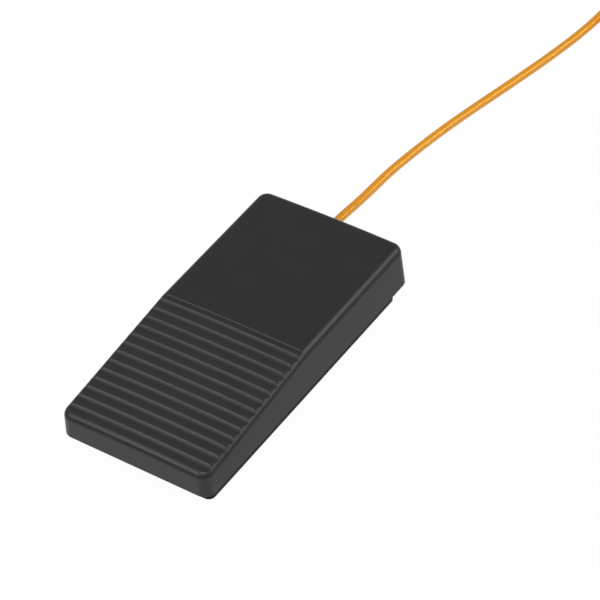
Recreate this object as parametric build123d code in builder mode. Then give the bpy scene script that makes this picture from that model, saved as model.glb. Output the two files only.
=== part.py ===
from build123d import *
from math import asin, atan, cos, radians, sin, sqrt, tan
import os

# Foot switch with a hinged pedal cover over a low tray. Millimetres, +Z up, +Y towards the cord,
# the toe end at -Y. The origin is on the floor, under the middle of the pedal.

# Pedal cover, one moulding
pedal_width = 62.0
pedal_length = 124.0
corner_radius = 4.2
side_draft = 2.0
skirt_gap = 7.0
rear_height = 17.1
bend_height = 16.7
toe_height = 9.9
bend_from_middle = 1.5
bend_step = 0.25
crown_rise = 0.6
rear_edge_radius = 3.15
front_edge_radius = 2.8
side_wall = 2.0
top_wall = 2.2
cavity_edge_radius = 1.2
rib_thickness = 1.4
rib_depth = 2.6
rib_x = 10.5
rib_end_margin = 10.0

# Tread across the sloping half of the pedal
ridge_count = 13
ridge_pitch = 4.41
ridge_first = 1.85
ridge_wall_run = 1.95
ridge_wall_facets = 6
ridge_depth = 0.68
ridge_land = 0.12
bend_run = 0.35
cut_headroom = 1.0

# Tray
foot_height = 1.0
tray_inset_side = 3.2
tray_inset_end = 4.9
tray_corner_radius = 2.6
tray_wall = 2.0
floor_thickness = 2.0
tray_overlap = 3.0
tray_edge_radius = 0.3

# Hinge at the cord end, and how far the pedal turns
travel_angle = 2.2
hinge_setback = 12.0
hinge_above_floor = 10.0
hinge_pin_radius = 1.5
running_clearance = 0.05
ear_thickness = 3.0
ear_wall = 1.8
ear_gap = 0.4
tray_ear_from_side = 11.5
clip_mouth = 2.5
pin_overhang = 0.8

# Hooks at the toe end that hold the pedal down against its springs
hook_x = 14.0
hook_width = 6.0
hook_leg = 1.6
hook_reach = 1.4
hook_thickness = 1.5
hook_clearance = 0.3
ledge_height = 1.6
ledge_margin = 1.0

# Return springs
spring_x = 17.0
spring_from_hinge = 84.0
spring_radius = 3.3
wire_radius = 0.45
spring_turns = 5.5
spring_seat_above_floor = 12.0
spring_post_clearance = 0.35
spring_seat_rim = 1.0
pedal_post_length = 3.4
stop_gap = 0.4

# Small snap-action switch
switch_width = 6.4
switch_length = 19.8
switch_height = 10.2
switch_from_hinge = 32.0
terminal_length = 3.0
terminal_width = 3.2
terminal_thickness = 0.5
terminal_spacing = 7.5
terminal_floor_gap = 0.4
solder_hole_radius = 0.55
switch_cover_thickness = 1.8
switch_hole_spacing = 9.5
switch_hole_height = 2.8
switch_edge_radius = 0.5
plunger_radius = 1.0
plunger_bore_depth = 4.6
plunger_sink = 3.4
plunger_gap = 0.1
lever_thickness = 0.4
lever_width = 3.4
lever_barrel_radius = 0.9
lever_pin_radius = 0.4
lever_pivot_from_end = 1.9
lever_to_plunger = 5.2
lever_contact = 17.0
lever_tail = 2.0
lever_rest_angle = 5.4
lever_side_gap = 0.25
lever_top_gap = 0.15
switch_ear_radius = 1.3
actuator_radius = 2.4
actuator_gap = 0.3
actuator_edge_radius = 0.8
bracket_thickness = 3.2
bracket_height = 8.6
bracket_margin = 0.6
bracket_foot = 4.0

# Fasteners
switch_screw_radius = 1.0
switch_screw_head_radius = 1.9
switch_screw_head_height = 1.2
switch_screw_grip = 2.6
switch_screw_clearance = 0.15
clamp_screw_radius = 1.25
clamp_screw_head_radius = 2.3
clamp_screw_head_height = 1.6
clamp_screw_grip = 2.4
clamp_screw_clearance = 0.15
drive_radius = 0.9
drive_depth = 0.7

# Cord, its clamp and its strain relief
cord_radius = 1.7
cord_from_side = 20.0
cord_above_floor = 1.9
clamp_from_wall = 12.1
jacket_past_clamp = 7.0
clamp_width = 6.0
clamp_side = 8.0
clamp_screw_offset = 5.2
cradle_height = 1.6
clamp_bridge = 1.3
clamp_split_gap = 0.5
relief_neck_radius = 2.3
relief_root_radius = 2.65
relief_tip_radius = 2.3
relief_length = 14.0
relief_flange = 1.2
relief_flange_radius = 2.9
relief_rings = 4
relief_ring_width = 1.1
relief_ring_depth = 0.35
lead_radius = 0.6
lead_offset = 0.65
lead_turn = 5.5
lead_side_step = 4.5
lead_crossing = 4.0
arc_share = 0.45

# Feet
foot_radius = 5.0
foot_recess = 0.8
foot_fit = 0.1
foot_from_side = 11.0
foot_from_end = 14.0
foot_edge_radius = 0.5

# Put-away length of the cord: a flat coil, its tie, and the plug beside it
coil_mean_radius = 20.4
coil_columns = 5
coil_layers = 2
coil_x = 38.4
coil_y = 254.0
coil_edge_radius = 1.4
tie_thickness = 0.6
tie_width = 6.0
tail_y = (238.0, 222.0)
tail_x = 66.2
tail_slant = (0.2, 0.7)
plug_grip_radius = 4.0
plug_grip_length = 22.0
plug_boot_length = 9.0
plug_boot_radius = 3.2
plug_boot_lip = 0.5
plug_shoulder = 1.5
plug_sleeve_radius = 1.75
plug_sleeve_length = 8.6
plug_collar_radius = 2.6
plug_collar_length = 1.2
plug_band = 0.6
plug_tip_length = 4.2
plug_waist_radius = 1.15
plug_tip_land = 0.8
plug_tip_waist = 1.7
plug_tip_ball = 2.5
plug_tip_nose = 0.6
plug_rib_count = 5
plug_rib_pitch = 2.0
plug_rib_depth = 0.3
plug_rib_width = 0.9
plug_rib_margin = 4.0

# Levels and places that follow from the sizes
tray_bottom = foot_height
floor_top = tray_bottom + floor_thickness
skirt_z = tray_bottom + skirt_gap
tray_top = skirt_z + tray_overlap
bend_y = -bend_from_middle
bend_z = skirt_z + bend_height
rear_slope = atan((rear_height - bend_height) / (pedal_length / 2 - bend_y))
front_slope = atan((bend_height - bend_step - toe_height) / (pedal_length / 2 + bend_y))
crown_radius = (pedal_width ** 2 / 4 + crown_rise ** 2) / (2 * crown_rise)
tray_width = pedal_width - 2 * tray_inset_side
tray_length = pedal_length - 2 * tray_inset_end
wall_inner_y = tray_length / 2 - tray_wall
hinge_y = pedal_length / 2 - hinge_setback
hinge_z = floor_top + hinge_above_floor
travel = radians(travel_angle)
tray_ear_x = pedal_width / 2 - tray_ear_from_side
parting = 40.0
ring_radius = hinge_pin_radius + running_clearance + ear_wall
clip_x = tray_ear_x + ear_thickness + ear_gap
spring_y = hinge_y - spring_from_hinge
spring_seat_z = floor_top + spring_seat_above_floor
post_radius = spring_radius - wire_radius - spring_post_clearance
pedal_post_z = spring_seat_z - pedal_post_length
tray_post_z = pedal_post_z - spring_from_hinge * sin(travel) - stop_gap
switch_y = hinge_y - switch_from_hinge
switch_z = floor_top + terminal_floor_gap + terminal_length
switch_top = switch_z + switch_height
switch_face_x = switch_width / 2
pivot_y = switch_y + switch_length / 2 - lever_pivot_from_end
pivot_z = switch_top + lever_barrel_radius + lever_top_gap
lever_angle = radians(lever_rest_angle)
half_strip = lever_thickness / 2 / cos(lever_angle)
plunger_y = pivot_y - lever_to_plunger
plunger_top = pivot_z + lever_to_plunger * tan(lever_angle) - half_strip - plunger_gap
contact_y = pivot_y - lever_contact
actuator_z = pivot_z + lever_contact * tan(lever_angle) + half_strip + actuator_gap
terminal_z = switch_z - terminal_length / 2
cord_x = cord_from_side - pedal_width / 2
cord_z = floor_top + cord_above_floor
clamp_y = wall_inner_y - clamp_from_wall
cord_inner_end = clamp_y - jacket_past_clamp
cradle_top = floor_top + cradle_height
clamp_bottom = cradle_top + clamp_split_gap
clamp_top = cord_z + cord_radius + clamp_bridge
plug_z = plug_grip_radius
sides = (-1, 1)


def pedal_half(slope, step, inset, drop, edge_radius, keep):
    """One half of the pedal's form: drafted sides under a roof that is slightly arched across."""
    draw_in = parting * tan(radians(side_draft))
    width = pedal_width - 2 * inset
    length = pedal_length - 2 * inset
    eaves = crown_rise - crown_radius + sqrt(crown_radius ** 2 - pedal_width ** 2)
    with BuildPart() as half:
        with BuildSketch(Plane.XY.offset(skirt_z)):
            Rectangle(width, length)
        with BuildSketch(Plane.XY.offset(skirt_z + parting)):
            Rectangle(width - 2 * draw_in, length - 2 * draw_in)
        loft(ruled=True)
        roof = Plane(
            origin=(0, bend_y, bend_z - step - drop),
            x_dir=(1, 0, 0),
            z_dir=(0, -cos(slope), -sin(slope)),
        )
        with BuildSketch(roof.offset(-pedal_length)):
            with BuildLine():
                arch = ThreePointArc((-pedal_width, eaves), (0, crown_rise), (pedal_width, eaves))
                Polyline(arch @ 1, (pedal_width, -parting), (-pedal_width, -parting), arch @ 0)
            make_face()
        extrude(amount=2 * pedal_length, mode=Mode.INTERSECT)
        uprights = half.edges().filter_by(lambda edge: abs((edge % 0.5).Z) > 0.9)
        fillet(uprights, radius=corner_radius - inset)
        if edge_radius > 0:
            fillet(half.faces().sort_by(Axis.Z)[-1].edges(), radius=edge_radius)
        split(bisect_by=Plane.XZ.offset(-bend_y), keep=keep)
    return half.part


def pedal_form(inset, drop, rear_radius, front_radius):
    """The pedal's whole form, drawn in by inset at its sides and by drop at its top."""
    with BuildPart() as form:
        add(pedal_half(rear_slope, 0, inset, drop, rear_radius, Keep.BOTTOM))
        add(pedal_half(front_slope, bend_step, inset, drop, front_radius, Keep.TOP))
    return form.part


def cut_across(from_bend, outline):
    """A cut from side to side under the arch of the sloping roof, from its outline down the slope."""
    start = (
        0,
        bend_y - from_bend * cos(front_slope),
        bend_z - bend_step - from_bend * sin(front_slope),
    )
    downhill = (0, -cos(front_slope), -sin(front_slope))
    across = Plane(origin=start, x_dir=(1, 0, 0), z_dir=downhill)
    along = Plane(origin=start, x_dir=downhill, z_dir=(-1, 0, 0))
    bow = asin(pedal_width / 2 / crown_radius)
    with BuildPart() as cutter:
        with BuildLine(across) as path:
            ThreePointArc(
                (0, crown_rise),
                (crown_radius * sin(bow / 2), crown_rise - crown_radius * (1 - cos(bow / 2))),
                (pedal_width / 2, 0),
            )
        with BuildSketch(along):
            with BuildLine():
                outline()
            make_face()
        sweep(path=path.wires()[0])
        mirror(about=Plane.YZ)
    return cutter.part


def ridge_outline():
    """One ridge of the tread: a hollow wall that faces the toe, then a ramp up to the next ridge."""
    wall = []
    for facet in range(ridge_wall_facets + 1):
        share = facet / ridge_wall_facets
        down = ridge_depth * (1 - (1 - share) ** 2)
        wall.append((share * ridge_wall_run, crown_rise - down))
    Polyline(
        *wall,
        (ridge_pitch - ridge_land, crown_rise),
        (ridge_pitch - ridge_land, crown_rise + cut_headroom),
        (0, crown_rise + cut_headroom),
        close=True,
    )


def bend_outline():
    """The small slanting face where the flat heel area meets the tread."""
    Polyline(
        (0, crown_rise),
        (-bend_run, crown_rise + bend_step),
        (-bend_run, crown_rise + cut_headroom),
        (bend_run, crown_rise + cut_headroom),
        (bend_run, crown_rise),
        close=True,
    )


with BuildPart() as fittings:
    for side in sides:
        with BuildSketch(Plane.YZ.offset(side * clip_x - ear_thickness / 2)):
            with Locations((hinge_y, hinge_z)):
                Circle(ring_radius)
                Rectangle(2 * ring_radius, parting, align=(Align.CENTER, Align.MIN))
                Circle(hinge_pin_radius + running_clearance, mode=Mode.SUBTRACT)
                Rectangle(clip_mouth, parting, align=(Align.CENTER, Align.MAX), mode=Mode.SUBTRACT)
        extrude(amount=ear_thickness)
        hook_tip_y = -wall_inner_y + hook_clearance / 2
        hook_front_y = hook_tip_y + hook_reach
        hook_top_z = tray_top - ledge_height - hook_clearance
        with BuildSketch(Plane.YZ.offset(side * hook_x - hook_width / 2)):
            with BuildLine():
                Polyline(
                    (hook_tip_y, hook_top_z),
                    (hook_front_y, hook_top_z),
                    (hook_front_y, parting),
                    (hook_front_y + hook_leg, parting),
                    (hook_front_y + hook_leg, hook_top_z - hook_thickness),
                    (hook_tip_y, hook_top_z - hook_thickness),
                    close=True,
                )
            make_face()
        extrude(amount=hook_width)
        with BuildSketch(Plane.XY.offset(spring_seat_z)):
            with Locations((side * spring_x, spring_y)):
                Circle(spring_radius + wire_radius + spring_seat_rim)
        extrude(amount=parting)
        with BuildSketch(Plane.XY.offset(pedal_post_z)):
            with Locations((side * spring_x, spring_y)):
                Circle(post_radius)
        extrude(amount=pedal_post_length)
    with BuildSketch(Plane.XY.offset(actuator_z)):
        with Locations((0, contact_y)):
            Circle(actuator_radius)
    extrude(amount=parting)
    actuator_faces = fittings.faces().filter_by_position(Axis.Z, actuator_z, actuator_z)
    fillet(actuator_faces.edges(), radius=actuator_edge_radius)
    add(pedal_form(side_wall / 2, top_wall / 2, 0, 0), mode=Mode.INTERSECT)

with BuildPart() as ribs:
    rib_length = pedal_length - 2 * (side_wall + rib_end_margin)
    with BuildSketch(Plane.XY.offset(skirt_z)):
        for side in sides:
            with Locations((side * rib_x, 0)):
                Rectangle(rib_thickness, rib_length)
        for rib_y in (spring_y, switch_y + switch_length):
            with Locations((0, rib_y)):
                Rectangle(2 * spring_x, rib_thickness)
    extrude(amount=parting)
    add(pedal_form(side_wall / 2, top_wall / 2, 0, 0), mode=Mode.INTERSECT)
    add(pedal_form(side_wall / 4, top_wall + rib_depth, 0, 0), mode=Mode.SUBTRACT)

with BuildPart() as pedal_cover:
    add(pedal_form(0, 0, rear_edge_radius, front_edge_radius))
    add(pedal_form(side_wall, top_wall, cavity_edge_radius, cavity_edge_radius), mode=Mode.SUBTRACT)
    add(fittings.part)
    add(ribs.part)
    add(cut_across(0, bend_outline), mode=Mode.SUBTRACT)
    ridge = cut_across(ridge_first, ridge_outline)
    for number in range(ridge_count):
        slide = number * ridge_pitch
        with Locations((0, -slide * cos(front_slope), -slide * sin(front_slope))):
            add(ridge, mode=Mode.SUBTRACT)


def bar_along_y(radius, near_y, far_y, x, z):
    """A plain round bar along Y."""
    with BuildPart() as bar:
        with BuildSketch(Plane.XZ.offset(-near_y)):
            with Locations((x, z)):
                Circle(radius)
        extrude(amount=near_y - far_y)
    return bar.part


cord_channel = bar_along_y(cord_radius, clamp_y + clamp_width, clamp_y - clamp_width, cord_x, cord_z)

with BuildPart() as base_tray:
    with BuildSketch(Plane.XY.offset(tray_bottom)):
        RectangleRounded(tray_width, tray_length, tray_corner_radius)
    extrude(amount=tray_top - tray_bottom)
    fillet(base_tray.faces().sort_by(Axis.Z)[0].edges(), radius=tray_edge_radius)
    with BuildSketch(Plane.XY.offset(floor_top)):
        RectangleRounded(
            tray_width - 2 * tray_wall, tray_length - 2 * tray_wall, tray_corner_radius - tray_wall / 2
        )
    extrude(amount=tray_top - floor_top, mode=Mode.SUBTRACT)
    for side in sides:
        with BuildSketch(Plane.YZ.offset(side * tray_ear_x - ear_thickness / 2)):
            with Locations((hinge_y, hinge_z)):
                Circle(ring_radius)
            with Locations((hinge_y, floor_top)):
                Rectangle(2 * ring_radius, hinge_above_floor, align=(Align.CENTER, Align.MIN))
            with Locations((hinge_y, hinge_z)):
                Circle(hinge_pin_radius, mode=Mode.SUBTRACT)
        extrude(amount=ear_thickness)
        ledge_back = -wall_inner_y + hook_clearance / 2 + hook_reach - hook_clearance
        with BuildSketch(Plane.XY.offset(tray_top - ledge_height)):
            with Locations((side * hook_x, -wall_inner_y)):
                Rectangle(
                    hook_width + 2 * ledge_margin, ledge_back + wall_inner_y, align=(Align.CENTER, Align.MIN)
                )
        extrude(amount=ledge_height)
        with BuildSketch(Plane.XY.offset(floor_top)):
            with Locations((side * spring_x, spring_y)):
                Circle(post_radius)
        extrude(amount=tray_post_z - floor_top)
    with BuildSketch(Plane.XY.offset(floor_top)):
        with Locations((cord_x, clamp_y)):
            Rectangle(2 * clamp_side, clamp_width)
    extrude(amount=cradle_height)
    with BuildSketch(Plane.XY.offset(floor_top)):
        with Locations((switch_face_x, switch_y)):
            Rectangle(
                bracket_thickness, switch_length + 2 * bracket_margin, align=(Align.MIN, Align.CENTER)
            )
    extrude(amount=bracket_height)
    with BuildSketch(Plane.XZ.offset(-switch_y - bracket_thickness / 2)):
        with BuildLine():
            Polyline(
                (switch_face_x + bracket_thickness, floor_top),
                (switch_face_x + bracket_thickness + bracket_foot, floor_top),
                (switch_face_x + bracket_thickness, floor_top + bracket_height),
                close=True,
            )
        make_face()
    extrude(amount=-bracket_thickness)
    with BuildSketch(Plane.XZ.offset(-tray_length / 2)):
        with Locations((cord_x, cord_z)):
            Circle(relief_neck_radius)
            Rectangle(2 * relief_neck_radius, parting, align=(Align.CENTER, Align.MIN))
    extrude(amount=tray_wall, mode=Mode.SUBTRACT)
    add(cord_channel, mode=Mode.SUBTRACT)
    for side in sides:
        with BuildSketch(Plane.XY.offset(cradle_top)):
            with Locations((cord_x + side * clamp_screw_offset, clamp_y)):
                Circle(clamp_screw_radius)
        extrude(amount=-clamp_screw_grip, mode=Mode.SUBTRACT)
        with BuildSketch(Plane.YZ.offset(switch_face_x)):
            with Locations((switch_y + side * switch_hole_spacing / 2, switch_z + switch_hole_height)):
                Circle(switch_screw_radius)
        extrude(amount=switch_screw_grip, mode=Mode.SUBTRACT)
    with BuildSketch(Plane.XY.offset(tray_bottom)):
        for across in sides:
            for along in sides:
                with Locations(
                    (
                        across * (pedal_width / 2 - foot_from_side),
                        along * (pedal_length / 2 - foot_from_end),
                    )
                ):
                    Circle(foot_radius + foot_fit)
    extrude(amount=foot_recess, mode=Mode.SUBTRACT)

with BuildPart() as hinge_pin:
    pin_half = clip_x + ear_thickness / 2 + pin_overhang
    with BuildSketch(Plane.YZ.offset(-pin_half)):
        with Locations((hinge_y, hinge_z)):
            Circle(hinge_pin_radius)
    extrude(amount=2 * pin_half)
    chamfer(hinge_pin.edges(), length=hinge_pin_radius / 5)


def switch_half(low_x, high_x, ear_low, ear_high):
    """One half of the switch's case, with the ear that holds one end of the lever's pin."""
    with BuildPart() as half:
        with BuildSketch(Plane.YZ.offset(low_x)):
            with Locations((switch_y, switch_z + switch_height / 2)):
                RectangleRounded(switch_length, switch_height, switch_edge_radius)
        extrude(amount=high_x - low_x)
        with BuildSketch(Plane.YZ.offset(ear_low)):
            with Locations((pivot_y, pivot_z)):
                Circle(switch_ear_radius)
                Rectangle(2 * switch_ear_radius, pivot_z - switch_z, align=(Align.CENTER, Align.MAX))
        extrude(amount=ear_high - ear_low)
        with BuildSketch(Plane.YZ.offset(-switch_width)):
            with Locations((pivot_y, pivot_z)):
                Circle(lever_pin_radius)
            for end in sides:
                with Locations((switch_y + end * switch_hole_spacing / 2, switch_z + switch_hole_height)):
                    Circle(switch_screw_radius + switch_screw_clearance)
        extrude(amount=2 * switch_width, mode=Mode.SUBTRACT)
        with BuildSketch(Plane.XY.offset(switch_top)):
            with Locations((0, plunger_y)):
                Circle(plunger_radius + running_clearance)
        extrude(amount=-plunger_bore_depth, mode=Mode.SUBTRACT)
    return half.part


seam_x = -switch_face_x + switch_cover_thickness
ear_inner_x = lever_width / 2 + lever_side_gap
switch_body = switch_half(seam_x, switch_face_x, ear_inner_x, switch_face_x)
switch_cover = switch_half(-switch_face_x, seam_x, -switch_face_x, -ear_inner_x)

with BuildPart() as switch_plunger:
    with BuildSketch(Plane.XY.offset(switch_top - plunger_sink)):
        with Locations((0, plunger_y)):
            Circle(plunger_radius)
    extrude(amount=plunger_top - switch_top + plunger_sink)
    fillet(switch_plunger.faces().sort_by(Axis.Z)[-1].edges(), radius=plunger_radius / 2)

with BuildPart() as switch_lever:
    strip = Plane(
        origin=(0, pivot_y, pivot_z), x_dir=(0, -cos(lever_angle), sin(lever_angle)), z_dir=(1, 0, 0)
    )
    with BuildSketch(strip.offset(-lever_width / 2)):
        Circle(lever_barrel_radius)
        Rectangle(lever_contact + lever_tail, lever_thickness, align=(Align.MIN, Align.CENTER))
        Circle(lever_pin_radius + running_clearance, mode=Mode.SUBTRACT)
    extrude(amount=lever_width)

with BuildPart() as lever_pin:
    with BuildSketch(Plane.YZ.offset(-switch_face_x)):
        with Locations((pivot_y, pivot_z)):
            Circle(lever_pin_radius)
    extrude(amount=switch_width)


def terminal(number):
    """A flat solder lug under the switch."""
    with BuildPart() as lug:
        lug_y = switch_y + number * terminal_spacing
        with BuildSketch(Plane.XZ.offset(-lug_y - terminal_thickness / 2)):
            with Locations((0, switch_z)):
                Rectangle(terminal_width, terminal_length, align=(Align.CENTER, Align.MAX))
            with Locations((0, terminal_z)):
                Circle(solder_hole_radius, mode=Mode.SUBTRACT)
        extrude(amount=terminal_thickness)
    return lug.part


def screw(radius, length, head_radius, head_height):
    """A pan head screw that points down, its head's underside at height 0."""
    with BuildPart() as body:
        with BuildSketch(Plane.XY):
            Circle(head_radius)
        extrude(amount=head_height)
        fillet(body.faces().sort_by(Axis.Z)[-1].edges(), radius=head_height / 2)
        with BuildSketch(Plane.XY):
            Circle(radius)
        extrude(amount=-length)
        chamfer(body.faces().sort_by(Axis.Z)[0].edges(), length=radius / 3)
        with BuildSketch(Plane.XY.offset(head_height)):
            Rectangle(2 * drive_radius, drive_radius / 2)
            Rectangle(drive_radius / 2, 2 * drive_radius)
        extrude(amount=-drive_depth, mode=Mode.SUBTRACT)
    return body.part


with BuildPart() as switch_screws:
    switch_screw = screw(
        switch_screw_radius,
        switch_width + switch_screw_grip,
        switch_screw_head_radius,
        switch_screw_head_height,
    )
    for end in sides:
        head = Plane(
            origin=(
                -switch_face_x,
                switch_y + end * switch_hole_spacing / 2,
                switch_z + switch_hole_height,
            ),
            x_dir=(0, 1, 0),
            z_dir=(-1, 0, 0),
        )
        with Locations(head):
            add(switch_screw)

with BuildPart() as clamp_screws:
    clamp_screw = screw(
        clamp_screw_radius,
        clamp_top - cradle_top + clamp_screw_grip,
        clamp_screw_head_radius,
        clamp_screw_head_height,
    )
    for side in sides:
        with Locations((cord_x + side * clamp_screw_offset, clamp_y, clamp_top)):
            add(clamp_screw)

with BuildPart() as cord_clamp:
    with BuildSketch(Plane.XY.offset(clamp_bottom)):
        with Locations((cord_x, clamp_y)):
            RectangleRounded(2 * clamp_side, clamp_width, clamp_width / 5)
    extrude(amount=clamp_top - clamp_bottom)
    for side in sides:
        with BuildSketch(Plane.XY.offset(clamp_bottom)):
            with Locations((cord_x + side * clamp_screw_offset, clamp_y)):
                Circle(clamp_screw_radius + clamp_screw_clearance)
        extrude(amount=clamp_top, mode=Mode.SUBTRACT)
    add(cord_channel, mode=Mode.SUBTRACT)

with BuildPart() as return_spring:
    spring_low = floor_top - wire_radius / 2
    spring_rise = spring_seat_z + wire_radius / 2 - spring_low
    with BuildLine() as spring_line:
        Helix(
            pitch=spring_rise / spring_turns,
            height=spring_rise,
            radius=spring_radius,
            center=(0, 0, spring_low),
        )
    spring_path = spring_line.wires()[0]
    with BuildSketch(Plane(origin=spring_path @ 0, z_dir=spring_path % 0)):
        Circle(wire_radius)
    sweep(is_frenet=True)
    with BuildSketch(Plane.XY.offset(floor_top)):
        Circle(spring_radius + 2 * wire_radius)
    extrude(amount=spring_seat_z - floor_top, mode=Mode.INTERSECT)

with BuildPart() as strain_relief:
    wall_outer_y = tray_length / 2
    relief_end = wall_outer_y + relief_flange + relief_length
    with BuildSketch(Plane(origin=(cord_x, 0, cord_z), x_dir=(0, 1, 0), z_dir=(0, 0, 1))):
        with BuildLine():
            Polyline(
                (wall_inner_y - relief_flange, -cord_radius),
                (wall_inner_y - relief_flange, -relief_flange_radius),
                (wall_inner_y, -relief_flange_radius),
                (wall_inner_y, -relief_neck_radius),
                (wall_outer_y, -relief_neck_radius),
                (wall_outer_y, -relief_flange_radius),
                (wall_outer_y + relief_flange, -relief_flange_radius),
                (wall_outer_y + relief_flange, -relief_root_radius),
                (relief_end, -relief_tip_radius),
                (relief_end, -cord_radius),
                close=True,
            )
        make_face()
        for number in range(relief_rings):
            share = (number + 1) / (relief_rings + 1)
            ring_y = wall_outer_y + relief_flange + share * relief_length
            ring_r = relief_root_radius + share * (relief_tip_radius - relief_root_radius)
            with Locations((ring_y, -ring_r)):
                Rectangle(relief_ring_width, 2 * relief_ring_depth, mode=Mode.SUBTRACT)
    revolve(axis=Axis((cord_x, 0, cord_z), (0, 1, 0)))
    with BuildSketch(Plane.XY.offset(floor_top)):
        with Locations((cord_x, wall_inner_y)):
            Rectangle(4 * relief_flange_radius, 4 * relief_flange, align=(Align.CENTER, Align.MAX))
    extrude(amount=-floor_top, mode=Mode.SUBTRACT)


def foot(across, along):
    """A round rubber foot in its recess."""
    with BuildPart() as pad:
        with BuildSketch(Plane.XY):
            with Locations(
                (across * (pedal_width / 2 - foot_from_side), along * (pedal_length / 2 - foot_from_end))
            ):
                Circle(foot_radius)
        extrude(amount=foot_height + foot_recess)
        fillet(pad.faces().sort_by(Axis.Z)[0].edges(), radius=foot_edge_radius)
    return pad.part


def tube(name, points, radius):
    """A round tube along straight runs joined by the largest arcs that the runs allow."""
    stops = [Vector(*point) for point in points]
    bends = []
    for before, corner, after in zip(stops, stops[1:], stops[2:]):
        shorter = min((corner - before).length, (after - corner).length)
        turn = (corner - before).get_angle(after - corner)
        bends.append(arc_share * shorter / tan(radians(turn / 2)))
    print(name, "radii", [round(bend, 1) for bend in bends])
    with BuildPart() as piece:
        with BuildLine() as route:
            FilletPolyline(*stops, radius=bends)
        centre_line = route.wires()[0]
        with BuildSketch(Plane(origin=centre_line @ 0, z_dir=centre_line % 0)) as section:
            Circle(radius)
        sweep(path=centre_line)
    share = piece.part.volume / (section.sketch.area * centre_line.length)
    print(name, "length", round(centre_line.length, 1), "volume share", round(share, 5))
    return piece.part


cord_route = [
    (cord_x, cord_inner_end, cord_z),
    (cord_x, 76.0, cord_z),
    (-11.0, 95.5, 2.3),
    (-11.0, 112.0, cord_radius),
    (-8.8, 129.0, cord_radius),
    (-5.9, 146.0, cord_radius),
    (-2.1, 163.0, cord_radius),
    (2.2, 181.0, cord_radius),
    (6.4, 200.0, cord_radius),
    (9.8, 219.0, cord_radius),
    (11.3, 237.0, cord_radius),
    (coil_x - coil_mean_radius - (coil_columns - 1) * cord_radius, coil_y, cord_radius),
]
cord = tube("cord", cord_route, cord_radius)

lead_end_x = -terminal_width / 2
lead_common = tube(
    "lead_common",
    [
        (cord_x + lead_offset, cord_inner_end, cord_z),
        (cord_x + lead_offset, switch_y + terminal_spacing + lead_turn, cord_z),
        (cord_x + lead_offset + lead_side_step, switch_y + terminal_spacing, terminal_z),
        (lead_end_x, switch_y + terminal_spacing, terminal_z),
    ],
    lead_radius,
)
lead_switched = tube(
    "lead_switched",
    [
        (cord_x - lead_offset, cord_inner_end, cord_z),
        (cord_x - lead_offset, switch_y + lead_crossing, cord_z),
        (cord_x - lead_offset + lead_side_step, switch_y - terminal_spacing, terminal_z),
        (lead_end_x, switch_y - terminal_spacing, terminal_z),
    ],
    lead_radius,
)

coil_half_width = coil_columns * cord_radius
coil_height = coil_layers * 2 * cord_radius
coil_outer = coil_mean_radius + coil_half_width
coil_inner = coil_mean_radius - coil_half_width
tie_y = coil_y - coil_mean_radius

with BuildPart() as coil_tie:
    with BuildSketch(Plane.YZ.offset(coil_x - tie_width / 2)):
        with Locations((tie_y, coil_height / 2)):
            RectangleRounded(2 * coil_half_width, coil_height, coil_edge_radius + tie_thickness)
            RectangleRounded(
                2 * (coil_half_width - tie_thickness),
                coil_height - 2 * tie_thickness,
                coil_edge_radius,
                mode=Mode.SUBTRACT,
            )
    extrude(amount=tie_width)

with BuildPart() as cord_coil:
    with BuildSketch(Plane.XY):
        with Locations((coil_x, coil_y)):
            Circle(coil_outer)
            Circle(coil_inner, mode=Mode.SUBTRACT)
    extrude(amount=coil_height)
    fillet(cord_coil.edges(), radius=coil_edge_radius)
    with BuildSketch(Plane.YZ.offset(coil_x - tie_width / 2)):
        with Locations((tie_y, coil_height / 2)):
            Rectangle(2 * coil_half_width + coil_inner, 2 * coil_height)
            RectangleRounded(
                2 * (coil_half_width - tie_thickness),
                coil_height - 2 * tie_thickness,
                coil_edge_radius,
                mode=Mode.SUBTRACT,
            )
    extrude(amount=tie_width, mode=Mode.SUBTRACT)

tail_start_x = coil_x + coil_mean_radius + (coil_columns - 1) * cord_radius
cord_tail = tube(
    "cord_tail",
    [
        (tail_start_x, coil_y, coil_height - cord_radius),
        (tail_x + tail_slant[0], tail_y[0], plug_z + tail_slant[1]),
        (tail_x, tail_y[1], plug_z),
    ],
    cord_radius,
)


def plug_piece(outline):
    """A turned piece of the plug, from its outline of places along the axis and radii."""
    with BuildPart() as turned:
        with BuildSketch(Plane(origin=(tail_x, tail_y[1], plug_z), x_dir=(0, -1, 0), z_dir=(0, 0, 1))):
            with BuildLine():
                Polyline((outline[0][0], 0), *outline, (outline[-1][0], 0), close=True)
            make_face()
        revolve(axis=Axis((tail_x, tail_y[1], plug_z), (0, -1, 0)))
    return turned.part


grip_start = plug_boot_length
grip_end = grip_start + plug_grip_length
sleeve_end = grip_end + plug_collar_length + plug_sleeve_length
band_end = sleeve_end + plug_band
tip_end = band_end + plug_tip_length
grip_outline = [
    (0, cord_radius + plug_boot_lip),
    (grip_start - plug_shoulder, plug_boot_radius),
    (grip_start, plug_grip_radius),
]
for number in range(plug_rib_count):
    rib_start = grip_start + plug_rib_margin + number * plug_rib_pitch
    grip_outline += [
        (rib_start, plug_grip_radius),
        (rib_start, plug_grip_radius - plug_rib_depth),
        (rib_start + plug_rib_width, plug_grip_radius - plug_rib_depth),
        (rib_start + plug_rib_width, plug_grip_radius),
    ]
grip_outline += [
    (grip_end - plug_shoulder, plug_grip_radius),
    (grip_end, plug_grip_radius - plug_shoulder / 2),
]
plug_grip = plug_piece(grip_outline)
plug_sleeve = plug_piece(
    [
        (grip_end, plug_collar_radius),
        (grip_end + plug_collar_length, plug_collar_radius),
        (grip_end + plug_collar_length, plug_sleeve_radius),
        (sleeve_end, plug_sleeve_radius),
    ]
)
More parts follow.
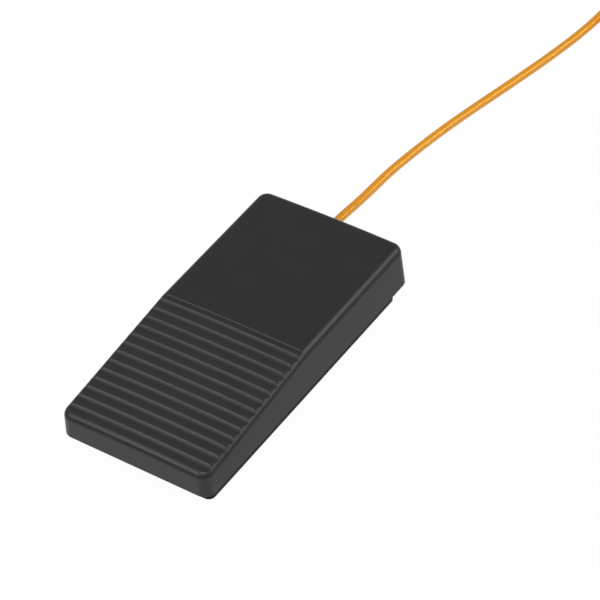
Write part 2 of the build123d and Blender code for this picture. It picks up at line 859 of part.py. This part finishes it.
plug_insulator = plug_piece([(sleeve_end, plug_sleeve_radius), (band_end, plug_sleeve_radius)])
plug_tip = plug_piece(
    [
        (band_end, plug_sleeve_radius),
        (band_end + plug_tip_land, plug_sleeve_radius),
        (band_end + plug_tip_waist, plug_waist_radius),
        (band_end + plug_tip_ball, plug_sleeve_radius),
        (tip_end - plug_tip_nose, plug_waist_radius),
        (tip_end, plug_waist_radius / 2),
    ]
)

pieces = {
    "pedal_cover": pedal_cover.part,
    "base_tray": base_tray.part,
    "hinge_pin": hinge_pin.part,
    "switch_body": switch_body,
    "switch_cover": switch_cover,
    "switch_plunger": switch_plunger.part,
    "switch_lever": switch_lever.part,
    "lever_pin": lever_pin.part,
    "switch_screws": switch_screws.part,
    "cord_clamp": cord_clamp.part,
    "clamp_screws": clamp_screws.part,
    "strain_relief": strain_relief.part,
    "lead_common": lead_common,
    "lead_switched": lead_switched,
    "cord": cord,
    "cord_coil": cord_coil.part,
    "coil_tie": coil_tie.part,
    "cord_tail": cord_tail,
    "plug_grip": plug_grip,
    "plug_sleeve": plug_sleeve,
    "plug_insulator": plug_insulator,
    "plug_tip": plug_tip,
}
for name, number in (("terminal_open", -1), ("terminal_closed", 0), ("terminal_common", 1)):
    pieces[name] = terminal(number)
for name, side in (("return_spring_left", -1), ("return_spring_right", 1)):
    pieces[name] = return_spring.part.moved(Location((side * spring_x, spring_y, 0)))
for name, across, along in (
    ("foot_front_left", -1, -1),
    ("foot_front_right", 1, -1),
    ("foot_rear_left", -1, 1),
    ("foot_rear_right", 1, 1),
):
    pieces[name] = foot(across, along)

os.makedirs("parts", exist_ok=True)
for name, piece in pieces.items():
    piece.label = name
    export_step(piece, f"parts/{name}.step")
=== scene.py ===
# %% [markdown]
# The foot switch is a low wedge of black moulded plastic: a ribbed pedal cover that rocks on a hinge
# over a tray, with a thin orange cord that leaves at the back. The exact shapes come from the packed
# CAD model, which is loaded here as a fixed frame. This script gives every piece its finish, makes the
# cord, its strap and the return springs as new pieces, and sets up the small studio that the pedal was
# photographed in.

# %% Load the frame
from math import cos, pi, radians, sin

import bmesh
import bpy
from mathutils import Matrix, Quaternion, Vector


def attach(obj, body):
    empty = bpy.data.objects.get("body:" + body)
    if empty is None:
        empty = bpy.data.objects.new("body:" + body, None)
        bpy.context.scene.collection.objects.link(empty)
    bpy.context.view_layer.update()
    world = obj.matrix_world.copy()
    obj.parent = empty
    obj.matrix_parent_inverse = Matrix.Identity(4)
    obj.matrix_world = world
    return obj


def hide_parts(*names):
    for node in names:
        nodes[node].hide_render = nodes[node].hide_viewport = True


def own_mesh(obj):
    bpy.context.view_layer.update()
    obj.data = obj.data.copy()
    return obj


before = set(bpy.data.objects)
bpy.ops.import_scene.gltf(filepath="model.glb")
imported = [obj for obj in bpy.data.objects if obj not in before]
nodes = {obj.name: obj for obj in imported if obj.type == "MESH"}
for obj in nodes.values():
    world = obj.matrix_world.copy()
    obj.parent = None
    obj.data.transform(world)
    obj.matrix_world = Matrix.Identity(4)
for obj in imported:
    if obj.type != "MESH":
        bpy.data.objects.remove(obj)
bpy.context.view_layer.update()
print("CAD nodes:", len(nodes))

# %% [markdown]
# Everything below is in metres, and the drawings are in millimetres, so one short constant keeps the
# numbers readable. The camera comes first, because it decides what has to look right. Its place was
# found by matching the straight edges of the pedal: a long lens from the front right, a little over
# 43 degrees above the table, and turned slightly round its own axis.

# %% Camera
MM = 0.001
camera_azimuth = radians(38.08)
camera_elevation = radians(43.26)
camera_roll = radians(-5.74)
camera_distance = 1043.4 * MM
camera_target = Vector((-1.44, 39.19, 1.0)) * MM
camera_lens = 174.7

camera_data = bpy.data.cameras.new("camera")
camera_data.lens = camera_lens
camera_data.sensor_width = 36.0
camera_data.clip_start = 0.01
camera_data.clip_end = 20.0
camera = bpy.data.objects.new("camera", camera_data)
bpy.context.scene.collection.objects.link(camera)
backwards = Vector(
    (
        sin(camera_azimuth) * cos(camera_elevation),
        -cos(camera_azimuth) * cos(camera_elevation),
        sin(camera_elevation),
    )
)
camera.location = camera_target + backwards * camera_distance
camera.rotation_mode = "QUATERNION"
camera.rotation_quaternion = (-backwards).to_track_quat("-Z", "Y") @ Quaternion((0, 0, 1), camera_roll)
bpy.context.scene.camera = camera
print("camera at", [round(value, 3) for value in camera.location])

# %% [markdown]
# A cord is one flexible thing of fixed length, so it is one curve. A NURBS curve glides past its
# points instead of going through them, which is how a soft lead lies. The first points run straight
# out of the clamp and the rubber relief, then the cord comes down to the table and wanders away to
# the far right. The rest of the lead is put away as a coil just outside the picture.

# %% Route of the cord, from the clamp to the coil
cord_radius = 1.7
route = [
    (-11.0, 36.0, 4.9),
    (-11.0, 56.5, 4.9),
    (-11.0, 76.0, 4.9),
    (-11.0, 95.5, 2.3),
    (-11.0, 112.0, 1.7),
    (-8.8, 129.0, 1.7),
    (-5.9, 146.0, 1.7),
    (-2.1, 163.0, 1.7),
    (2.2, 181.0, 1.7),
    (6.4, 200.0, 1.7),
    (9.8, 219.0, 1.7),
    (11.3, 237.0, 1.7),
]
print("points before the coil:", len(route))

# %% [markdown]
# The coil has five turns on the table and five on top of them, a cord's thickness apart. Each turn
# keeps its radius until it is about to meet the turn before it, and then steps in or out by one
# thickness. Sixteen points make a turn; because the curve glides inside its points, they sit 2%
# outside the turn that they give. Where the strap goes underneath, the turns ride up over it.

# %% Turns of the coil
coil_centre = (38.4, 254.0)
coil_outer_turn = 27.2
turn_spacing = 2 * cord_radius
points_per_turn = 16
outside = 1.0195
layer_end = 4.75
climb = 0.25
coil_turns = 9.5
step_length = 3 / points_per_turn
strap_at = 0.75
strap_thickness = 0.6


def turn_number(turns):
    """Which ring of the coil the cord lies in, 0 outside and 4 inside, after so many turns."""
    if turns <= layer_end:
        whole = int(turns + step_length)
        part = (turns + step_length - whole) / step_length
        return min(whole - 1 + min(part, 1.0), 4.0) if whole > 0 else 0.0
    after = turns - 5.5
    if after < 0:
        return 4.0
    whole = int(after)
    return 4.0 - whole - min((after - whole) / step_length, 1.0)


def strap_lift(turns):
    """How far the strap under the coil lifts the cord, most in the middle of the strap."""
    away = abs(turns % 1.0 - strap_at) * points_per_turn
    return strap_thickness * max(0.0, 1.0 - away / 2)


for index in range(int(coil_turns * points_per_turn) + 1):
    turns = index / points_per_turn
    angle = pi - 2 * pi * turns
    radius = (coil_outer_turn - turn_spacing * turn_number(turns)) * outside
    layer = min(max((turns - layer_end) / climb, 0.0), 1.0)
    route.append(
        (
            coil_centre[0] + radius * cos(angle),
            coil_centre[1] + radius * sin(angle),
            cord_radius + layer * turn_spacing + strap_lift(turns),
        )
    )
route += [(66.4, 238.0, 4.7), (66.2, 222.0, 4.0)]
print("points in all:", len(route))

# %% [markdown]
# The curve gets a round bevel for its thickness. The bevel is 1 and every point has the cord's radius,
# because the box that Blender draws round a curve grows by the radius of its points. The order is set
# after the points are added, because before that Blender keeps the curve at straight runs.

# %% Cord
cord_curve = bpy.data.curves.new("cord_line", "CURVE")
cord_curve.dimensions = "3D"
cord_curve.resolution_u = 6
cord_curve.bevel_depth = 1.0
cord_curve.bevel_resolution = 5
cord_curve.use_fill_caps = True
line = cord_curve.splines.new("NURBS")
line.points.add(len(route) - 1)
for point, place in zip(line.points, route):
    point.co = (place[0] * MM, place[1] * MM, place[2] * MM, 1.0)
    point.radius = cord_radius * MM
line.order_u = 3
line.use_endpoint_u = True
cord = bpy.data.objects.new("cord_line", cord_curve)
bpy.context.scene.collection.objects.link(cord)
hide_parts("cord", "cord_coil", "cord_tail")
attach(cord, "base")

# %% [markdown]
# The coil is held by a short hook-and-loop strap. By hand one would start from a block round the
# bundle, open it from side to side so that a flat band is left, round its corners, and pull a second
# layer out of its top, where the free end is pressed down on the band.


# %% Helpers for shaping a piece by hand
def deselect_all():
    """Leaves edit mode's work done and nothing selected, so that the next step acts on one piece."""
    if bpy.context.mode != "OBJECT":
        bpy.ops.object.mode_set(mode="OBJECT")
    bpy.ops.object.select_all(action="DESELECT")


def start_block(name, centre, size):
    """Adds a block of a given size and opens it in edit mode, with nothing selected."""
    deselect_all()
    bpy.ops.mesh.primitive_cube_add(size=1.0, location=Vector(centre) * MM, scale=Vector(size) * MM)
    piece = bpy.context.object
    piece.name = name
    piece.data.name = name
    bpy.ops.object.transform_apply(location=True, rotation=True, scale=True)
    bpy.ops.object.mode_set(mode="EDIT")
    bpy.ops.mesh.select_all(action="DESELECT")
    return piece


def select(piece, kind, wanted):
    """Selects the faces or edges of a piece that wanted(face or edge) says yes to."""
    shape = bmesh.from_edit_mesh(piece.data)
    bpy.ops.mesh.select_all(action="DESELECT")
    bpy.context.tool_settings.mesh_select_mode = (False, kind == "edges", kind == "faces")
    for item in shape.faces if kind == "faces" else shape.edges:
        if wanted(item):
            item.select_set(True)
    bmesh.update_edit_mesh(piece.data)


def finish_piece(piece, body, smooth_below=35):
    """Leaves edit mode, smooths the soft edges, and lets the piece ride on its body."""
    bpy.ops.mesh.select_all(action="SELECT")
    bpy.ops.mesh.normals_make_consistent(inside=False)
    bpy.ops.object.mode_set(mode="OBJECT")
    bpy.ops.object.shade_smooth_by_angle(angle=radians(smooth_below))
    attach(piece, body)
    print(piece.name, "faces:", len(piece.data.polygons))


# %% Strap round the coil
strap_width = 6.0
strap_corner = 2.0
bundle_width = 5 * turn_spacing + 2 * strap_thickness
bundle_height = 2 * turn_spacing + 2 * strap_thickness
strap_middle_y = coil_centre[1] - coil_outer_turn + 2 * turn_spacing
free_end_starts = strap_middle_y - 4.0


def on_top(face):
    """Whether a face of the strap lies in its flat top."""
    return face.normal.z > 0.95 and face.calc_center_median().z > (bundle_height - 0.1) * MM


strap = start_block(
    "coil_strap",
    (coil_centre[0], strap_middle_y, bundle_height / 2),
    (strap_width, bundle_width, bundle_height),
)
select(
    strap, "edges", lambda edge: abs(edge.verts[0].co.x - edge.verts[1].co.x) > strap_width * MM / 2
)
bpy.ops.mesh.bevel(offset=strap_corner * MM, segments=6, affect="EDGES")
select(strap, "faces", lambda face: abs(face.normal.x) > 0.9)
bpy.ops.mesh.inset(thickness=strap_thickness * MM)
bpy.ops.mesh.bridge_edge_loops()
select(strap, "faces", on_top)
bpy.ops.mesh.subdivide(number_cuts=5)
select(
    strap,
    "faces",
    lambda face: on_top(face) and face.calc_center_median().y > free_end_starts * MM,
)
bpy.ops.mesh.extrude_region_move(TRANSFORM_OT_translate={"value": (0, 0, strap_thickness * MM)})
finish_piece(strap, "base")
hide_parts("coil_tie")

# %% [markdown]
# Two coil springs lift the toe of the pedal. Each is one wire wound round a post. Its end turns lie
# close together, as they do on a bought spring, and the turns between them rise evenly.

# %% Return springs
spring_x = 17.0
spring_y = -34.0
spring_radius = 3.3
wire_radius = 0.45
spring_turns = 5.5
spring_points = 24
spring_bottom = 3.0
spring_top = 15.0
end_turn_rise = 0.96
spring_rise = spring_top - spring_bottom - 2 * wire_radius
open_pitch = (spring_rise - 2 * end_turn_rise) / (spring_turns - 2)
springs = []
for side, hand in ((-1, "left"), (1, "right")):
    deselect_all()
    wire_curve = bpy.data.curves.new(f"spring_coil_{hand}", "CURVE")
    wire_curve.dimensions = "3D"
    wire_curve.bevel_depth = wire_radius * MM
    wire_curve.bevel_resolution = 3
    wire_curve.use_fill_caps = True
    wire = wire_curve.splines.new("POLY")
    wire.points.add(int(spring_turns * spring_points))
    for index, point in enumerate(wire.points):
        turns = index / spring_points
        first = min(turns, 1.0)
        middle = min(max(turns - 1.0, 0.0), spring_turns - 2)
        last = max(turns - (spring_turns - 1.0), 0.0)
        height = spring_bottom + wire_radius + (first + last) * end_turn_rise + middle * open_pitch
        point.co = (
            (side * spring_x + spring_radius * cos(2 * pi * turns)) * MM,
            (spring_y + spring_radius * sin(2 * pi * turns)) * MM,
            height * MM,
            1.0,
        )
    spring = bpy.data.objects.new(f"spring_coil_{hand}", wire_curve)
    bpy.context.scene.collection.objects.link(spring)
    spring.select_set(True)
    bpy.context.view_layer.objects.active = spring
    bpy.ops.object.convert(target="MESH")
    bpy.ops.object.shade_smooth_by_angle(angle=radians(50))
    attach(spring, "base")
    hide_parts(f"return_spring_{hand}")
    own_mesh(spring)
    springs.append(spring)
    print(spring.name, "faces:", len(spring.data.polygons))

# %% [markdown]
# Now the finishes. Moulded plastic isn't one flat colour: the mould is spark-eroded, so the surface
# has a fine grain that softens its gloss, and the gloss changes a little from place to place. One
# helper builds that from two noise patterns, and each plastic piece gets its own numbers. The jacket of
# the cord is smoother and glossier, and its sheen takes on some of its orange.


# %% Helpers for finishes
def new_finish(name):
    """An empty material with its shader, and the tools to add nodes to it."""
    material = bpy.data.materials.new(name)
    material.use_nodes = True
    tree = material.node_tree
    shader = tree.nodes["Principled BSDF"]
    place = tree.nodes.new("ShaderNodeTexCoord")
    return material, tree, shader, place


def noise(tree, place, size, detail=2.0, stretch=(1.0, 1.0, 1.0)):
    """A noise pattern with blobs of about size millimetres, longer where stretch is more than 1."""
    mapping = tree.nodes.new("ShaderNodeMapping")
    mapping.inputs["Scale"].default_value = [1.0 / (size * MM * factor) for factor in stretch]
    pattern = tree.nodes.new("ShaderNodeTexNoise")
    pattern.inputs["Scale"].default_value = 1.0
    pattern.inputs["Detail"].default_value = detail
    tree.links.new(place.outputs["Object"], mapping.inputs["Vector"])
    tree.links.new(mapping.outputs["Vector"], pattern.inputs["Vector"])
    return pattern.outputs["Fac"]


def spread(tree, source, low, high):
    """Turns a pattern into a number from low to high."""
    span = tree.nodes.new("ShaderNodeMapRange")
    span.inputs["From Min"].default_value = 0.3
    span.inputs["From Max"].default_value = 0.7
    span.inputs["To Min"].default_value = low
    span.inputs["To Max"].default_value = high
    tree.links.new(source, span.inputs["Value"])
    return span.outputs["Result"]


def tinted(tree, source, dark, light):
    """Turns a pattern into a colour between dark and light."""
    ramp = tree.nodes.new("ShaderNodeValToRGB")
    ramp.color_ramp.elements[0].position = 0.3
    ramp.color_ramp.elements[0].color = (*dark, 1.0)
    ramp.color_ramp.elements[1].position = 0.7
    ramp.color_ramp.elements[1].color = (*light, 1.0)
    tree.links.new(source, ramp.inputs["Fac"])
    return ramp.outputs["Color"]


def relief(tree, shader, source, height, strength):
    """Lets a pattern stand up from the surface by height millimetres."""
    bump = tree.nodes.new("ShaderNodeBump")
    bump.inputs["Distance"].default_value = height * MM
    bump.inputs["Strength"].default_value = strength
    tree.links.new(source, bump.inputs["Height"])
    tree.links.new(bump.outputs["Normal"], shader.inputs["Normal"])


def moulded(name, dark, light, gloss, grain, grain_height, strength=0.5, mirror=0.5):
    """Moulded plastic or rubber: fine grain, and a tint and a gloss that change from place to place."""
    material, tree, shader, place = new_finish(name)
    shader.inputs["Specular IOR Level"].default_value = mirror
    fine = noise(tree, place, grain, detail=3.0)
    broad = noise(tree, place, 14.0)
    tree.links.new(tinted(tree, broad, dark, light), shader.inputs["Base Color"])
    tree.links.new(spread(tree, broad, *gloss), shader.inputs["Roughness"])
    relief(tree, shader, fine, grain_height, strength)
    return material


def metal(name, dark, light, gloss, grain, stretch=(1.0, 1.0, 1.0), height=0.01):
    """Bare or plated metal: fine lines where it is stretched, and tarnish in soft patches."""
    material, tree, shader, place = new_finish(name)
    lines = noise(tree, place, grain, detail=4.0, stretch=stretch)
    patches = noise(tree, place, 4.0)
    shader.inputs["Metallic"].default_value = 1.0
    tree.links.new(tinted(tree, patches, dark, light), shader.inputs["Base Color"])
    tree.links.new(spread(tree, lines, *gloss), shader.inputs["Roughness"])
    relief(tree, shader, lines, height, 0.3)
    return material


# %% Finishes
pedal_plastic = moulded(
    "pedal_plastic",
    (0.0115, 0.0115, 0.0123),
    (0.0135, 0.0135, 0.0142),
    (0.32, 0.37),
    0.8,
    0.07,
    mirror=0.38,
)
# The tray and the cord clamp are darker than the pedal cover as painted shade, standing in for the
# shadow on the tray's wall under the pedal's skirt; their duller gloss is the plastic's own.
tray_plastic_painted_shade = moulded(
    "tray_plastic_painted_shade",
    (0.008, 0.008, 0.0085),
    (0.011, 0.011, 0.0115),
    (0.5, 0.58),
    0.3,
    0.012,
    mirror=0.2,
)
switch_plastic = moulded(
    "switch_plastic", (0.02, 0.02, 0.022), (0.026, 0.026, 0.028), (0.3, 0.36), 0.2, 0.006
)
plunger_plastic = moulded(
    "plunger_plastic", (0.42, 0.03, 0.02), (0.5, 0.05, 0.03), (0.28, 0.34), 0.2, 0.005
)
soft_rubber = moulded(
    "soft_rubber", (0.012, 0.012, 0.013), (0.02, 0.02, 0.021), (0.6, 0.75), 0.25, 0.03
)
foot_rubber = moulded(
    "foot_rubber", (0.022, 0.022, 0.023), (0.032, 0.032, 0.033), (0.7, 0.85), 0.3, 0.04
)
cord_jacket = moulded(
    "cord_jacket",
    (0.69, 0.257, 0.002),
    (0.73, 0.271, 0.003),
    (0.12, 0.16),
    6.0,
    0.5,
    1.0,
    mirror=0.55,
)
cord_shader = cord_jacket.node_tree.nodes["Principled BSDF"]
cord_shader.inputs["IOR"].default_value = 1.8
cord_shader.inputs["Specular Tint"].default_value = (1.0, 0.84, 0.34, 1.0)
lead_jacket = moulded(
    "lead_jacket", (0.30, 0.12, 0.04), (0.36, 0.16, 0.06), (0.35, 0.42), 0.3, 0.004
)
plug_plastic = moulded(
    "plug_plastic", (0.016, 0.016, 0.017), (0.022, 0.022, 0.023), (0.4, 0.5), 0.25, 0.015
)
band_plastic = moulded(
    "band_plastic", (0.012, 0.012, 0.012), (0.016, 0.016, 0.016), (0.3, 0.35), 0.2, 0.004
)
pin_steel = metal(
    "pin_steel", (0.52, 0.52, 0.53), (0.62, 0.62, 0.63), (0.2, 0.3), 0.08, (30, 1, 1)
)
spring_steel = metal("spring_steel", (0.4, 0.4, 0.41), (0.52, 0.52, 0.53), (0.25, 0.38), 0.12)
screw_steel = metal("screw_steel", (0.56, 0.55, 0.52), (0.68, 0.67, 0.64), (0.3, 0.42), 0.2)
lever_steel = metal(
    "lever_steel", (0.58, 0.58, 0.59), (0.68, 0.68, 0.69), (0.22, 0.34), 0.08, (1, 30, 1)
)
terminal_brass = metal(
    "terminal_brass", (0.62, 0.46, 0.2), (0.74, 0.58, 0.28), (0.24, 0.36), 0.15, (1, 1, 10)
)
plug_nickel = metal(
    "plug_nickel", (0.66, 0.63, 0.57), (0.74, 0.71, 0.66), (0.1, 0.18), 0.1, (1, 20, 1), 0.004
)
print("finishes:", len(bpy.data.materials))

# %% [markdown]
# The strap is woven, so it gets two crossed wave patterns instead of grain: a bump lets the yarns stand
# up, and the colour is painted lighter on the yarns as a painted highlight and darker in the gaps as
# painted shade.

# %% Woven strap
yarn_scale = 600.0
strap_weave, weave_tree, weave_shader, weave_place = new_finish("strap_weave")
yarns = []
for direction in ("X", "Y"):
    wave = weave_tree.nodes.new("ShaderNodeTexWave")
    wave.bands_direction = direction
    wave.inputs["Scale"].default_value = yarn_scale
    wave.inputs["Distortion"].default_value = 1.5
    wave.inputs["Detail"].default_value = 1.0
    weave_tree.links.new(weave_place.outputs["Object"], wave.inputs["Vector"])
    yarns.append(wave.outputs["Fac"])
crossing = weave_tree.nodes.new("ShaderNodeMath")
crossing.operation = "MAXIMUM"
weave_tree.links.new(yarns[0], crossing.inputs[0])
weave_tree.links.new(yarns[1], crossing.inputs[1])
# Painted highlight on the yarns and painted shade in the gaps between them.
weave_tree.links.new(
    tinted(weave_tree, crossing.outputs["Value"], (0.006, 0.006, 0.006), (0.03, 0.03, 0.031)),
    weave_shader.inputs["Base Color"],
)
weave_shader.inputs["Roughness"].default_value = 0.9
relief(weave_tree, weave_shader, crossing.outputs["Value"], 0.15, 0.8)

# %% Give every piece its finish
finishes = {
    pedal_plastic: ["pedal_cover"],
    tray_plastic_painted_shade: ["base_tray", "cord_clamp"],
    switch_plastic: ["switch_body", "switch_cover"],
    plunger_plastic: ["switch_plunger"],
    soft_rubber: ["strain_relief"],
    foot_rubber: ["foot_front_left", "foot_front_right", "foot_rear_left", "foot_rear_right"],
    cord_jacket: ["cord", "cord_coil", "cord_tail"],
    lead_jacket: ["lead_common", "lead_switched"],
    plug_plastic: ["plug_grip"],
    band_plastic: ["plug_insulator"],
    pin_steel: ["hinge_pin", "lever_pin"],
    spring_steel: ["return_spring_left", "return_spring_right"],
    screw_steel: ["switch_screws", "clamp_screws"],
    lever_steel: ["switch_lever"],
    terminal_brass: ["terminal_common", "terminal_open", "terminal_closed"],
    plug_nickel: ["plug_sleeve", "plug_tip"],
    strap_weave: ["coil_tie"],
}
finished = set()
for material, names in finishes.items():
    for name in names:
        nodes[name].data.materials.clear()
        nodes[name].data.materials.append(material)
        finished.add(name)
cord_curve.materials.append(cord_jacket)
strap.data.materials.append(strap_weave)
for spring in springs:
    spring.data.materials.append(spring_steel)
print("nodes without a finish:", sorted(set(nodes) - finished))

# %% [markdown]
# The CAD mesh is made of loose flat triangles. Smoothing by angle rounds the fillets and keeps the
# corners of the ridges crisp, and it doesn't move a single point.

# %% Smooth the rounded edges of the CAD pieces
cad_smooth_below = 30
deselect_all()
for node in nodes.values():
    node.select_set(True)
bpy.context.view_layer.objects.active = nodes["pedal_cover"]
bpy.ops.object.shade_smooth_by_angle(angle=radians(cad_smooth_below))
deselect_all()

# %% [markdown]
# The studio is a white table under soft light. The table is one large sheet. To the camera it shows
# nearly white, with only a trace of the pedal's shadow. In glossy pieces more of the shadow shows, so
# the walls of the pedal are a little darker near the table.

# %% Table and room
deselect_all()
bpy.ops.mesh.primitive_plane_add(size=24.0, location=(0, 0, 0))
table = bpy.context.object
table.name = "table"


def by_ray(tree, seen, mirrored):
    """One value for what the camera sees, one for what shows in gloss or glass, and 0 otherwise."""
    path = tree.nodes.new("ShaderNodeLightPath")
    total = 0.0
    for ray, value in (
        ("Is Camera Ray", seen),
        ("Is Glossy Ray", mirrored),
        ("Is Transmission Ray", mirrored),
    ):
        share = tree.nodes.new("ShaderNodeMath")
        share.operation = "MULTIPLY_ADD"
        share.inputs[1].default_value = value
        tree.links.new(path.outputs[ray], share.inputs[0])
        if total:
            tree.links.new(total, share.inputs[2])
        else:
            share.inputs[2].default_value = 0.0
        total = share.outputs["Value"]
    return total


table_white, table_tree, table_shader, _ = new_finish("table_white")
table_shader.inputs["Base Color"].default_value = (0.9, 0.9, 0.9, 1.0)
table_shader.inputs["Roughness"].default_value = 0.9
table_shader.inputs["Specular IOR Level"].default_value = 0.0
white_light = table_tree.nodes.new("ShaderNodeEmission")
table_mix = table_tree.nodes.new("ShaderNodeMixShader")
table_tree.links.new(by_ray(table_tree, 0.965, 0.45), table_mix.inputs["Fac"])
table_tree.links.new(table_shader.outputs["BSDF"], table_mix.inputs[1])
table_tree.links.new(white_light.outputs["Emission"], table_mix.inputs[2])
table_tree.links.new(table_mix.outputs["Shader"], table_tree.nodes["Material Output"].inputs["Surface"])
table.data.materials.append(table_white)

room_light = 0.5
world = bpy.data.worlds.new("room")
bpy.context.scene.world = world
world.use_nodes = True
room = world.node_tree.nodes["Background"]
room.inputs["Color"].default_value = (1.0, 1.0, 1.0, 1.0)
room_strength = world.node_tree.nodes.new("ShaderNodeMapRange")
room_strength.inputs["To Min"].default_value = room_light
room_strength.inputs["To Max"].default_value = 1.0
world.node_tree.links.new(by_ray(world.node_tree, 1.0, 0.93), room_strength.inputs["Value"])
world.node_tree.links.new(room_strength.outputs["Result"], room.inputs["Strength"])

# %% [markdown]
# Black plastic shows the room more than its own colour. The photographer kept the top of the pedal
# dark with a grey card behind it and above, and a darker one stood upright at the back. A light grey
# paper lay at its right. The table ends not far away, which draws a thin dark line along the rounded
# edges. All of these are made here as cards that only glossy surfaces can see. Soft boxes in front,
# behind and above light the pedal evenly.


# %% Cards and soft boxes
def grey_card(card, brightness):
    """Makes a piece of the studio that shows in glossy surfaces and nowhere else."""
    paint = bpy.data.materials.new(card.name)
    paint.use_nodes = True
    glow = paint.node_tree.nodes.new("ShaderNodeEmission")
    glow.inputs["Color"].default_value = (brightness, brightness, brightness, 1.0)
    output = paint.node_tree.nodes["Material Output"]
    paint.node_tree.links.new(glow.outputs["Emission"], output.inputs["Surface"])
    card.data.materials.append(paint)
    card.visible_camera = False
    card.visible_diffuse = False
    card.visible_shadow = False
    card.visible_transmission = False


def flat_card(name, place, size, brightness, tilt=(0, 0, 0)):
    """A flat card of so many metres by so many, turned by so many degrees round each axis."""
    turned = [radians(angle) for angle in tilt]
    bpy.ops.mesh.primitive_plane_add(size=1.0, location=place, rotation=turned)
    card = bpy.context.object
    card.name = name
    card.scale = (*size, 1.0)
    grey_card(card, brightness)


flat_card("overhead_card", (-1.1, 1.3, 0.75), (3.0, 2.9), 0.48)
flat_card("back_card", (-1.5, 1.9, 0.34), (3.6, 0.68), 0.2, tilt=(90, 0, 38.1))
flat_card("side_paper", (0.195, 0.165, 0.0005), (0.32, 0.43), 0.64)

rim_height = 0.045
bpy.ops.mesh.primitive_cylinder_add(
    vertices=96,
    radius=1.0,
    depth=rim_height,
    end_fill_type="NOTHING",
    location=(0.02, 0.1, rim_height / 2),
)
rim = bpy.context.object
rim.name = "table_rim"
rim.scale = (0.16, 0.24, 1.0)
grey_card(rim, 0.27)


def soft_box(name, azimuth, elevation, distance, size, power):
    """A square lamp that looks at the pedal from so many degrees round and above."""
    lamp_data = bpy.data.lights.new(name, "AREA")
    lamp_data.shape = "SQUARE"
    lamp_data.size = size
    lamp_data.energy = power
    lamp = bpy.data.objects.new(name, lamp_data)
    bpy.context.scene.collection.objects.link(lamp)
    around, above = radians(azimuth), radians(elevation)
    away = Vector((sin(around) * cos(above), -cos(around) * cos(above), sin(above)))
    lamp.location = away * distance
    lamp.rotation_mode = "QUATERNION"
    lamp.rotation_quaternion = (-away).to_track_quat("-Z", "Y")


soft_box("front_box", -33, 38, 1.2, 0.7, 3.6)
soft_box("side_box", 130, 32, 1.3, 0.7, 3.6)
soft_box("top_box", 38, 72, 1.2, 0.6, 5.0)

# %% [markdown]
# The colours above are meant as they are written, so the picture uses the plain Standard view.

# %% Finish
bpy.context.scene.view_settings.view_transform = "Standard"
bpy.context.view_layer.update()
